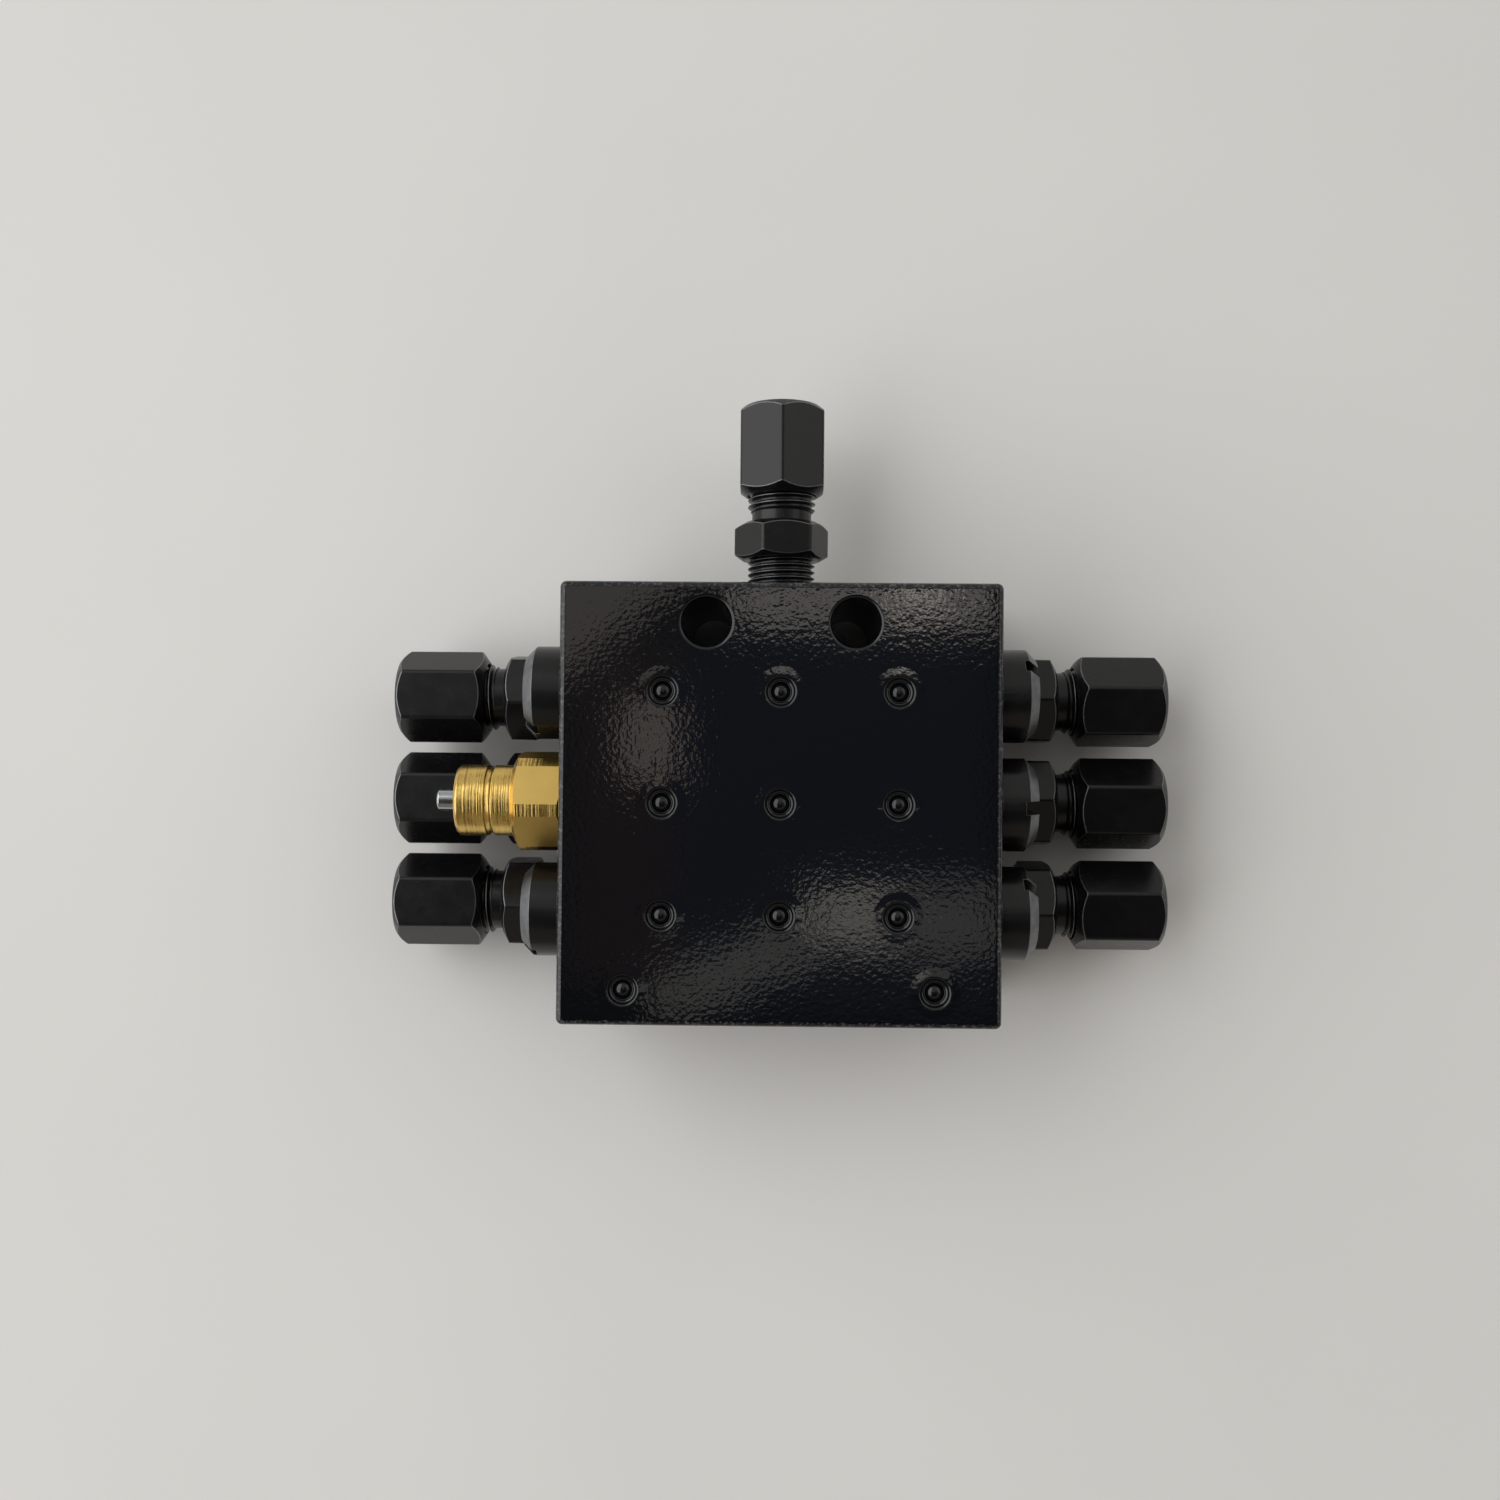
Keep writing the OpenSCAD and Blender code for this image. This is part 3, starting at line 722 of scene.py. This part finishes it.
class DIVIDER_OT_block(bpy.types.Operator):
    """Models the painted block with its chamfers, bores, ports, bowls and mounting holes"""

    bl_idname = "divider.block"
    bl_label = "Divider Block"

    def execute(self, context):
        sizes = context.scene.divider_sizes
        low, high = (Vector(corner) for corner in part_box("divider_block"))
        thick = (high.z - low.z) / MM
        half = high.x / MM
        clear_selection()
        bpy.ops.mesh.primitive_cube_add(size=1, location=(low + high) / 2, scale=high - low)
        block = context.object
        block.name = "painted_block"
        bpy.ops.object.transform_apply(location=True, rotation=True, scale=True)
        bpy.ops.object.mode_set(mode="EDIT")
        bpy.ops.mesh.select_all(action="SELECT")
        bpy.ops.mesh.bevel(offset=sizes.block_edge, segments=8, profile=0.5, clamp_overlap=False)
        bpy.ops.object.mode_set(mode="OBJECT")

        bolt = sizes.bolt_hole / MM / 2
        turns = [math.radians(a) for a in range(6, 91, 12)]
        arc = [(bolt + BOLT_RIM * (1 - math.sin(a)), BOLT_RIM * (1 - math.cos(a))) for a in turns]
        bolt_cut = lathe(
            "bolt_cut",
            [(0, -1), (bolt + 1.2, -1)]
            + arc
            + [(r, thick - z) for r, z in reversed(arc)]
            + [(bolt + 1.2, thick + 1), (0, thick + 1)],
        )
        record = frame["record"]
        pattern = next(m for m in record["mounts"] if m["name"] == "mounting_holes")
        spread = pattern["dims"]["spacing_x_mm"] / 2 * MM
        for sign in (-1, 1):
            place = Matrix.Translation((sign * spread, pattern["pos_m"][1], 0))
            combine(block, copy_to(bolt_cut, "bolt_hole", place), "DIFFERENCE")
        remove(bolt_cut)

        bowl = sizes.bowl / MM / 2
        ball = sizes.ball / MM / 2 + 0.02
        # Setting the balls left a low raised ring round each bowl
        ring = [(bowl + 0.1 + r, RING_RISE - RING_SLOPE * r) for r in (0, 0.35, 0.7, 1.05, 1.3)]
        start = (bowl - 0.2, -0.3)
        raised = lathe(
            "raised_ring",
            [start, (bowl - 0.2, RING_RISE)] + ring + [(bowl + 1.4, -0.3), start],
            steps=64,
        )
        # The paint sagged while it dried, so the ring is lower on the side away from the inlet
        bpy.ops.object.mode_set(mode="EDIT")
        bpy.ops.mesh.select_mode(type="VERT")
        bpy.ops.mesh.select_all(action="DESELECT")
        bpy.ops.object.mode_set(mode="OBJECT")
        for vertex in raised.data.vertices:
            vertex.select = vertex.co.y < -0.5 * MM and vertex.co.z > -0.1 * MM
        bpy.ops.object.mode_set(mode="EDIT")
        bpy.ops.transform.resize(value=(1, 1, 0.4), center_override=(0, 0, 0))
        bpy.ops.object.mode_set(mode="OBJECT")
        # Paint rounds the rim of each bowl, and fills its foot round the ball
        lip = [
            (bowl + 0.1 - LIP_ROUND * math.sin(a), RING_RISE + LIP_ROUND * (math.cos(a) - 1))
            for a in (math.radians(d) for d in range(66, 0, -8))
        ]
        seat_cut = lathe(
            "seat_cut",
            [
                (0, -BALL_SEAT_DEPTH),
                (ball, -BALL_SEAT_DEPTH),
                (ball, -0.66),
                (ball + 0.04, -0.62),
                (ball + 0.14, -0.58),
                (ball + 0.22, -0.53),
                (ball + 0.265, -0.47),
            ]
            + lip
            + [(bowl + 0.9, 0.4), (0, 0.4)],
            steps=64,
        )
        for name in ball_nodes():
            middle = node_axis(name)
            place = Matrix.Translation((middle.x, middle.y, high.z))
            combine(block, copy_to(raised, "ring", place), "UNION")
            combine(block, copy_to(seat_cut, "seat", place), "DIFFERENCE")
        remove(raised)
        remove(seat_cut)

        bore_cut = lathe(
            "bore_cut",
            [
                (0, -half - 1),
                (RING_SEAT, -half - 1),
                (RING_SEAT, -half + RING_SEAT_DEPTH),
                (PLUG_PORT, -half + RING_SEAT_DEPTH),
                (PLUG_PORT, -half + PLUG_PORT_DEPTH),
                (PISTON_BORE, -half + PLUG_PORT_DEPTH),
                (PISTON_BORE, half - PLUG_PORT_DEPTH),
                (PLUG_PORT, half - PLUG_PORT_DEPTH),
                (PLUG_PORT, half - RING_SEAT_DEPTH),
                (RING_SEAT, half - RING_SEAT_DEPTH),
                (RING_SEAT, half + 1),
                (0, half + 1),
            ],
        )
        for row in ROWS:
            middle = node_axis("metering_piston_" + row)
            place = Matrix.Translation((0, middle.y, middle.z)) @ Matrix.Rotation(math.pi / 2, 4, "Y")
            combine(block, copy_to(bore_cut, "bore", place), "DIFFERENCE")
        remove(bore_cut)

        drill_point = FITTING_PORT - PASSAGE
        port_cut = lathe(
            "port_cut",
            [
                (0, 1),
                (FITTING_PORT + 1.4, 1),
                (FITTING_PORT, -0.4),
                (FITTING_PORT, -FITTING_PORT_DEPTH),
                (PASSAGE, -FITTING_PORT_DEPTH - drill_point),
                (PASSAGE, -13),
                (0, -13),
            ],
        )
        for side in SIDES:
            for row in ROWS:
                place = side_place(side, f"outlet_{side}_{row}_body", 0)
                combine(block, copy_to(port_cut, "port", place), "DIFFERENCE")
        combine(block, copy_to(port_cut, "port", inlet_place(0)), "DIFFERENCE")
        remove(port_cut)
        smooth(block)
        enamel = finish("black enamel on steel", enamel_on_steel)
        dress(block, [enamel], "block", "black_paint", "divider_block")
        return {"FINISHED"}


def ball_nodes():
    """Names of the eleven ball plugs."""
    return [name for name in frame["nodes"] if name.startswith("ball_plug_")]


class DIVIDER_OT_ball_plugs(bpy.types.Operator):
    """Models one ball plug with the paint that runs round it and copies it to all drilled holes"""

    bl_idname = "divider.ball_plugs"
    bl_label = "Ball Plugs"

    def execute(self, context):
        radius = context.scene.divider_sizes.ball / MM / 2
        lower = [math.radians(a) for a in range(-90, 1, 10)]
        upper = [math.radians(a) for a in range(34, 91, 4)]
        profile = [(radius * math.cos(a), radius * math.sin(a)) for a in lower]
        profile[0] = (0, -radius)
        # Paint fills the gap between the ball and its seat up to a rounded collar
        profile += [(radius, 1.1), (radius, 1.18), (radius - 0.03, 1.235), (radius - 0.09, 1.255)]
        profile += [(radius - 0.15, 1.235), (radius - 0.19, 1.17), (radius - 0.21, 1.05)]
        profile += [(radius - 0.23, 0.9), (radius - 0.25, 0.84)]
        profile += [(radius * math.cos(a), radius * math.sin(a)) for a in upper]
        profile[-1] = (0, radius)
        model = lathe("ball_model", profile, steps=64)
        smooth(model, angle=60)
        enamel = finish("black enamel on steel", enamel_on_steel)
        for node in ball_nodes():
            piece = copy_to(model, "painted_" + node, Matrix.Translation(node_axis(node)))
            dress(piece, [enamel], "block", "black_paint", node)
        remove(model)
        return {"FINISHED"}


def stand_off(model, show):
    """Moves the zero of a model from the hexagon to the face of the block, by a length in millimetres."""
    only(model)
    model.location.z = show * MM
    bpy.ops.object.transform_apply(location=True, rotation=True, scale=True)
    return model


def fitting_body(name, show, reach):
    """A fitting body by its stud length outside the block and the extra reach of its coupling."""
    sizes = bpy.context.scene.divider_sizes
    relief = sizes.relief / MM / 2
    coupling = sizes.coupling_crest / MM / 2
    end = COUPLING_END + reach
    body = hex_bar(name, sizes.fitting_flats, 0, HEX_END, (5.6, 30), (5.2, 30))
    # The rounded edges take the rubbed finish: worn steel and a painted edge highlight
    soften(body, sizes.edge_round, 1)
    shank = thread("shank", sizes.stud_crest, sizes.stud_pitch, -show - STUD_IN_BLOCK, 1.3)
    combine(body, shank, "UNION")
    neck = lathe(
        "neck",
        [
            (0, 2.1),
            (relief, 2.1),
            (relief, HEX_END),
            (relief, THREAD_START + 0.37),
            (0, THREAD_START + 0.37),
        ],
    )
    combine(body, neck, "UNION")
    nose = thread("nose", sizes.coupling_crest, sizes.coupling_pitch, THREAD_START, end)
    run_in = lathe(
        "run_in",
        [
            (0, THREAD_START - 0.5),
            (relief - 0.35, THREAD_START - 0.5),
            (coupling + 0.4, THREAD_START + 0.85),
            (coupling + 0.4, end - 1.0),
            (coupling - 0.85, end + 0.25),
            (0, end + 0.25),
        ],
    )
    combine(nose, run_in, "INTERSECT")
    combine(body, nose, "UNION")
    foot = -show - STUD_IN_BLOCK - 1
    bore = lathe(
        "bore",
        [
            (0, foot),
            (PASSAGE, foot),
            (PASSAGE, TUBE_STOP + reach),
            (TUBE_HOLE, TUBE_STOP + reach),
            (TUBE_HOLE, CONE_START + reach),
            (TUBE_MOUTH, end + 1),
            (0, end + 1),
        ],
    )
    combine(body, bore, "DIFFERENCE")
    smooth(body)
    # The crests of both threads take the rubbed finish like the edges of the hexagon: worn steel and a
    # painted highlight on each crest
    crests = (sizes.stud_crest / 2, sizes.coupling_crest / 2)
    for face in body.data.polygons:
        out = math.hypot(face.center.x, face.center.y)
        if abs(face.normal.z) < 0.5 and any(abs(out - crest) < 0.04 * MM for crest in crests):
            face.material_index = 1
    return stand_off(body, show)


class DIVIDER_OT_fitting_bodies(bpy.types.Operator):
    """Models the threaded fitting bodies and copies them to the inlet and the six outlets"""

    bl_idname = "divider.fitting_bodies"
    bl_label = "Fitting Bodies"

    def execute(self, context):
        sizes = context.scene.divider_sizes
        finishes = oxide_finishes()
        model = fitting_body("outlet_model", sizes.outlet_show / MM, 0)
        for side in SIDES:
            for row, turn in zip(ROWS, BODY_TURN[side]):
                node = f"outlet_{side}_{row}_body"
                piece = copy_to(model, "threaded_" + node, side_place(side, node, turn))
                dress(piece, finishes, "block", "black_steel", node)
        remove(model)
        model = fitting_body("inlet_model", sizes.inlet_show / MM, INLET_REACH)
        piece = copy_to(model, "threaded_inlet_body", inlet_place(INLET_BODY_TURN))
        dress(piece, finishes, "block", "black_steel", "inlet_body")
        remove(model)
        return {"FINISHED"}


def union_nut(name, show):
    """A union nut whose place along the axis counts from the block face, in millimetres."""
    sizes = bpy.context.scene.divider_sizes
    nut = hex_bar(name, sizes.nut_flats, NUT_START, NUT_END, (5.25, 35), (5.55, 40))
    # The rounded edges take the rubbed finish: worn steel and a painted edge highlight
    soften(nut, sizes.edge_round, 1)
    bore = lathe(
        "nut_bore",
        [
            (0, NUT_START - 1),
            (NUT_THREAD + 1.1, NUT_START - 1),
            (NUT_THREAD, NUT_START + 0.1),
            (NUT_THREAD, GUIDE_START - NUT_THREAD + TUBE_HOLE),
            (TUBE_HOLE, GUIDE_START),
            (TUBE_HOLE, NUT_END - 0.35),
            (TUBE_HOLE + 0.15, NUT_END - 0.1),
            (TUBE_HOLE + 0.85, NUT_END + 0.35),
            (0, NUT_END + 0.35),
        ],
    )
    combine(nut, bore, "DIFFERENCE")
    smooth(nut)
    return stand_off(nut, show)


class DIVIDER_OT_union_nuts(bpy.types.Operator):
    """Models the union nut and copies it to the inlet and the six outlets"""

    bl_idname = "divider.union_nuts"
    bl_label = "Union Nuts"

    def execute(self, context):
        sizes = context.scene.divider_sizes
        finishes = oxide_finishes()
        model = union_nut("nut_model", sizes.outlet_show / MM)
        for side in SIDES:
            for row, turn in zip(ROWS, NUT_TURN[side]):
                node = f"outlet_{side}_{row}_nut"
                piece = copy_to(model, "black_" + node, side_place(side, node, turn))
                dress(piece, finishes, "block", "black_steel", node)
        further = Matrix.Translation((0, 0, sizes.inlet_show - sizes.outlet_show + INLET_REACH * MM))
        piece = copy_to(model, "black_inlet_nut", inlet_place(INLET_NUT_TURN) @ further)
        dress(piece, finishes, "block", "black_steel", "inlet_nut")
        remove(model)
        return {"FINISHED"}


class DIVIDER_OT_screw_plugs(bpy.types.Operator):
    """Models one slotted screw plug and copies it to the five closed ends of the piston bores"""

    bl_idname = "divider.screw_plugs"
    bl_label = "Screw Plugs"

    def execute(self, context):
        sizes = context.scene.divider_sizes
        head = sizes.plug_head / MM / 2
        rise = sizes.plug_rise / MM
        cut = sizes.plug_chamfer / MM
        model = lathe(
            "plug_model",
            PLUG_SHANK
            + [
                (PLUG_SHANK[-1][0], 0),
                (head - 0.15, 0),
                (head, 0.15),
                (head, rise - cut),
                (head - cut, rise),
                (0, rise),
            ],
        )
        clear_selection()
        depth = sizes.slot_depth
        bpy.ops.mesh.primitive_cube_add(
            size=1,
            location=(0, 0, sizes.plug_rise - depth / 2 + 0.5 * MM),
            scale=(2 * sizes.plug_head, sizes.slot_width, depth + 1 * MM),
        )
        slot = context.object
        bpy.ops.object.transform_apply(location=True, rotation=True, scale=True)
        combine(model, slot, "DIFFERENCE")
        two_finishes(model)
        # The rounded edges take the rubbed finish: worn steel and a painted edge highlight
        soften(model, 0.8 * sizes.edge_round, 1)
        smooth(model)
        # The head chamfer takes the rubbed finish: bare machined steel and a painted reflection of the side
        # light
        for face in model.data.polygons:
            middle = face.center / MM
            out = math.hypot(middle.x, middle.y)
            on_cone = head - cut < out < head and middle.z > rise - cut
            if on_cone and 0.5 < face.normal.z < 0.9:
                face.material_index = 1
        finishes = oxide_finishes()
        for side in SIDES:
            for row, turn in zip(ROWS, SLOT_TURN[side]):
                node = f"screw_plug_{side}_{row}"
                if node in frame["nodes"]:
                    piece = copy_to(model, "slotted_" + node, side_place(side, node, turn))
                    dress(piece, finishes, "block", "black_steel", node)
        remove(model)
        return {"FINISHED"}


class DIVIDER_OT_indicator(bpy.types.Operator):
    """Models the brass indicator housing and its steel pin"""

    bl_idname = "divider.indicator"
    bl_label = "Cycle Indicator"

    def execute(self, context):
        sizes = context.scene.divider_sizes
        nose = sizes.nose / MM / 2
        bar = sizes.housing_hex / MM
        end = bar + sizes.nose_length / MM
        groove = bar + sizes.nose_groove / MM
        flat = sizes.housing_flats / MM / 2
        corner = sizes.housing_corner / MM
        housing = hex_bar(
            "brass_model", sizes.housing_flats, 0, bar, (flat + 0.1, 30), (nose + 0.6, 30), corner
        )
        soften(housing, sizes.edge_round)
        turned = lathe(
            "nose",
            PLUG_SHANK
            + [
                (PLUG_SHANK[-1][0], 2.3),
                (nose, 2.3),
                (nose, groove - 0.06),
                (nose - 0.04, groove + 0.04),
                (nose - 0.33, groove + 0.35),
                (nose - 0.35, groove + 0.42),
                (nose - 0.35, groove + 0.94),
                (nose - 0.3, groove + 0.97),
                (nose - 0.05, groove + 1),
                (nose, groove + 1.06),
                (nose, end - 0.44),
                (nose - 0.04, end - 0.36),
                (nose - 0.34, end - 0.05),
                (nose - 0.42, end),
                (0, end),
            ],
        )
        combine(housing, turned, "UNION")
        bore = lathe(
            "pin_bore",
            [
                (0, -9),
                (PIN_HOLE, -9),
                (PIN_HOLE, end - 0.3),
                (PIN_HOLE + 0.09, end - 0.12),
                (PIN_HOLE + 0.77, end + 0.4),
                (0, end + 0.4),
            ],
            steps=64,
        )
        combine(housing, bore, "DIFFERENCE")
        smooth(housing, angle=18)
        for face in housing.data.polygons:
            depth = face.center.dot(face.normal) / MM
            face.material_index = 1 if abs(face.normal.z) < 0.05 and abs(depth - flat) < 0.02 else 0
        place = side_place("left", "indicator_housing", HOUSING_TURN)
        piece = copy_to(housing, "brass_indicator_housing", place)
        finishes = [finish("turned brass", turned_brass), finish("drawn brass", drawn_brass)]
        dress(piece, finishes, "block", "brass", "indicator_housing")
        remove(housing)

        low, high = (Vector(corner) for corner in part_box("indicator_pin"))
        radius = sizes.pin / MM / 2
        reach = (high.x - low.x) / MM
        pin = lathe(
            "pin_model",
            [
                (0, 0),
                (radius - 0.4, 0),
                (radius, 0.4),
                (radius, reach - 0.42),
                (radius - 0.08, reach - 0.26),
                (radius - 0.24, reach - 0.1),
                (radius - 0.44, reach - 0.02),
                (radius - 0.6, reach),
                (0, reach),
            ],
            steps=64,
        )
        smooth(pin)
        middle = (low + high) / 2
        place = Matrix.Translation((high.x, middle.y, middle.z)) @ Matrix.Rotation(-math.pi / 2, 4, "Y")
        piece = copy_to(pin, "steel_indicator_pin", place)
        steel = finish("ground steel", ground_steel)
        dress(piece, [steel], "indicator_piston", "bright_steel", "indicator_pin")
        remove(pin)
        return {"FINISHED"}


class DIVIDER_OT_inner_pieces(bpy.types.Operator):
    """Gives the pistons, cutting rings and seals inside the part their finishes"""

    bl_idname = "divider.inner_pieces"
    bl_label = "Inner Pieces"

    def execute(self, context):
        steel = finish("ground steel", ground_steel)
        rubber = finish("nitrile rubber", seal_rubber)
        for name, node in frame["nodes"].items():
            if name.startswith("metering_piston") or name.endswith("ferrule"):
                node.material_slots[0].material = steel
            elif name.startswith("plug_ring") or name in ("housing_ring", "pin_seal"):
                node.material_slots[0].material = rubber
        return {"FINISHED"}


def soft_light(name, place, size, power):
    """A rectangular light of a size in metres that faces the part."""
    bpy.ops.object.light_add(type="AREA", location=place)
    light = bpy.context.object
    light.name = name
    light.data.shape = "RECTANGLE"
    light.data.size, light.data.size_y = size
    light.data.energy = power
    light.rotation_euler = (-light.location).to_track_quat("-Z", "Y").to_euler()
    return light


def soft_room(sky):
    """A world that is white towards the inlet and the left, warmer on the other side and dark overhead."""
    world = bpy.data.worlds.new("soft studio")
    world.use_nodes = True
    tree = world.node_tree
    backdrop = tree.nodes["Background"]
    way = add_node(tree, "ShaderNodeTexCoord").outputs["Generated"]
    split = add_node(tree, "ShaderNodeSeparateXYZ", links={"Vector": way})
    inlet = add_node(
        tree,
        "ShaderNodeMath",
        {"operation": "MULTIPLY_ADD", 1: -0.35},
        {0: split.outputs["X"], 2: split.outputs["Y"]},
    )
    sides = add_node(
        tree,
        "ShaderNodeMapRange",
        {
            "interpolation_type": "SMOOTHSTEP",
            "From Min": -0.4,
            "From Max": 0.4,
            "To Min": 0.6 * sky,
            "To Max": sky,
        },
        {"Value": inlet.outputs[0]},
    )
    height = add_node(
        tree,
        "ShaderNodeMath",
        {"operation": "MULTIPLY_ADD", 1: -0.25},
        {0: split.outputs["Y"], 2: split.outputs["Z"]},
    )
    overhead = add_node(
        tree,
        "ShaderNodeMapRange",
        {
            "interpolation_type": "SMOOTHSTEP",
            "From Min": 0.82,
            "From Max": 0.95,
            "To Min": 1.0,
            "To Max": 0.1,
        },
        {"Value": height.outputs[0]},
    )
    warmth = add_node(
        tree,
        "ShaderNodeMapRange",
        {"interpolation_type": "SMOOTHSTEP", "From Min": -0.5, "From Max": 0.3},
        {"Value": inlet.outputs[0]},
    )
    tint = add_node(
        tree,
        "ShaderNodeMix",
        {"data_type": "RGBA", 6: (*linear("#e6dccf"), 1), 7: (*linear("#fbfbf6"), 1)},
        {0: warmth.outputs[0]},
    )
    tree.links.new(tint.outputs[2], backdrop.inputs["Color"])
    strength = add_node(
        tree,
        "ShaderNodeMath",
        {"operation": "MULTIPLY"},
        {0: sides.outputs[0], 1: overhead.outputs[0]},
    )
    tree.links.new(strength.outputs[0], backdrop.inputs["Strength"])
    return world


class DIVIDER_OT_stage(bpy.types.Operator):
    """Sets the pale floor, the soft light and the camera above the front face"""

    bl_idname = "divider.stage"
    bl_label = "Stage"

    def execute(self, context):
        stage = context.scene.divider_stage
        clear_selection()
        bpy.ops.mesh.primitive_grid_add(
            x_subdivisions=8, y_subdivisions=8, size=FLOOR_SIZE, location=(0, 0, -FLOOR_GAP)
        )
        floor = context.object
        floor.name = "floor"
        bpy.ops.object.transform_apply(location=True, rotation=True, scale=True)
        floor.data.materials.append(pale_floor())

        context.scene.world = soft_room(stage.sky)
        soft_light("soft_key", (-0.85, 0.12, 0.62), (1.8, 1.2), stage.key_power)
        soft_light("soft_fill", (0.8, 0.25, 0.55), (1.0, 0.5), stage.fill_power)
        for name, (place, size, turn, glow, shade) in CEILING.items():
            power = stage.ceiling * glow * math.pi * size[0] * size[1]
            panel = soft_light(name, place, size, power)
            panel.data.color = linear(shade)
            panel.rotation_euler = (0, 0, math.radians(turn))
        context.scene.view_settings.view_transform = "Standard"

        bpy.ops.object.camera_add(location=(stage.camera_x, stage.camera_y, stage.camera_height))
        camera = context.object
        camera.name = "front_camera"
        camera.data.sensor_width = 36
        camera.data.lens = stage.focal
        camera.data.clip_start = 0.01
        camera.rotation_mode = "ZYX"
        camera.rotation_euler = stage.camera_lean
        context.scene.camera = camera
        return {"FINISHED"}


class DIVIDER_PT_panel(bpy.types.Panel):
    """Lists the pieces of the divider and their sizes and colours"""

    bl_idname = "DIVIDER_PT_panel"
    bl_label = "Lubricant Divider"
    bl_space_type = "VIEW_3D"
    bl_region_type = "UI"
    bl_category = "Divider"

    def draw(self, context):
        column = self.layout.column()
        for operator in OPERATORS:
            column.operator(operator.bl_idname)
        for key, group in GROUPS.items():
            for name in group.__annotations__:
                column.prop(getattr(context.scene, key), name)


GROUPS = {
    "divider_sizes": DividerSizes,
    "divider_colours": DividerColours,
    "divider_stage": DividerStage,
}
OPERATORS = (
    DIVIDER_OT_block,
    DIVIDER_OT_ball_plugs,
    DIVIDER_OT_fitting_bodies,
    DIVIDER_OT_union_nuts,
    DIVIDER_OT_screw_plugs,
    DIVIDER_OT_indicator,
    DIVIDER_OT_inner_pieces,
    DIVIDER_OT_stage,
)


def register():
    for cls in (*GROUPS.values(), *OPERATORS, DIVIDER_PT_panel):
        bpy.utils.register_class(cls)
    for name, group in GROUPS.items():
        setattr(bpy.types.Scene, name, bpy.props.PointerProperty(type=group))


def unregister():
    for name in GROUPS:
        delattr(bpy.types.Scene, name)
    for cls in reversed((*GROUPS.values(), *OPERATORS, DIVIDER_PT_panel)):
        bpy.utils.unregister_class(cls)


def main():
    register()
    bpy.ops.divider.block()
    bpy.ops.divider.ball_plugs()
    bpy.ops.divider.fitting_bodies()
    bpy.ops.divider.union_nuts()
    bpy.ops.divider.screw_plugs()
    bpy.ops.divider.indicator()
    bpy.ops.divider.inner_pieces()
    bpy.ops.divider.stage()


if __name__ == "__main__":
    main()
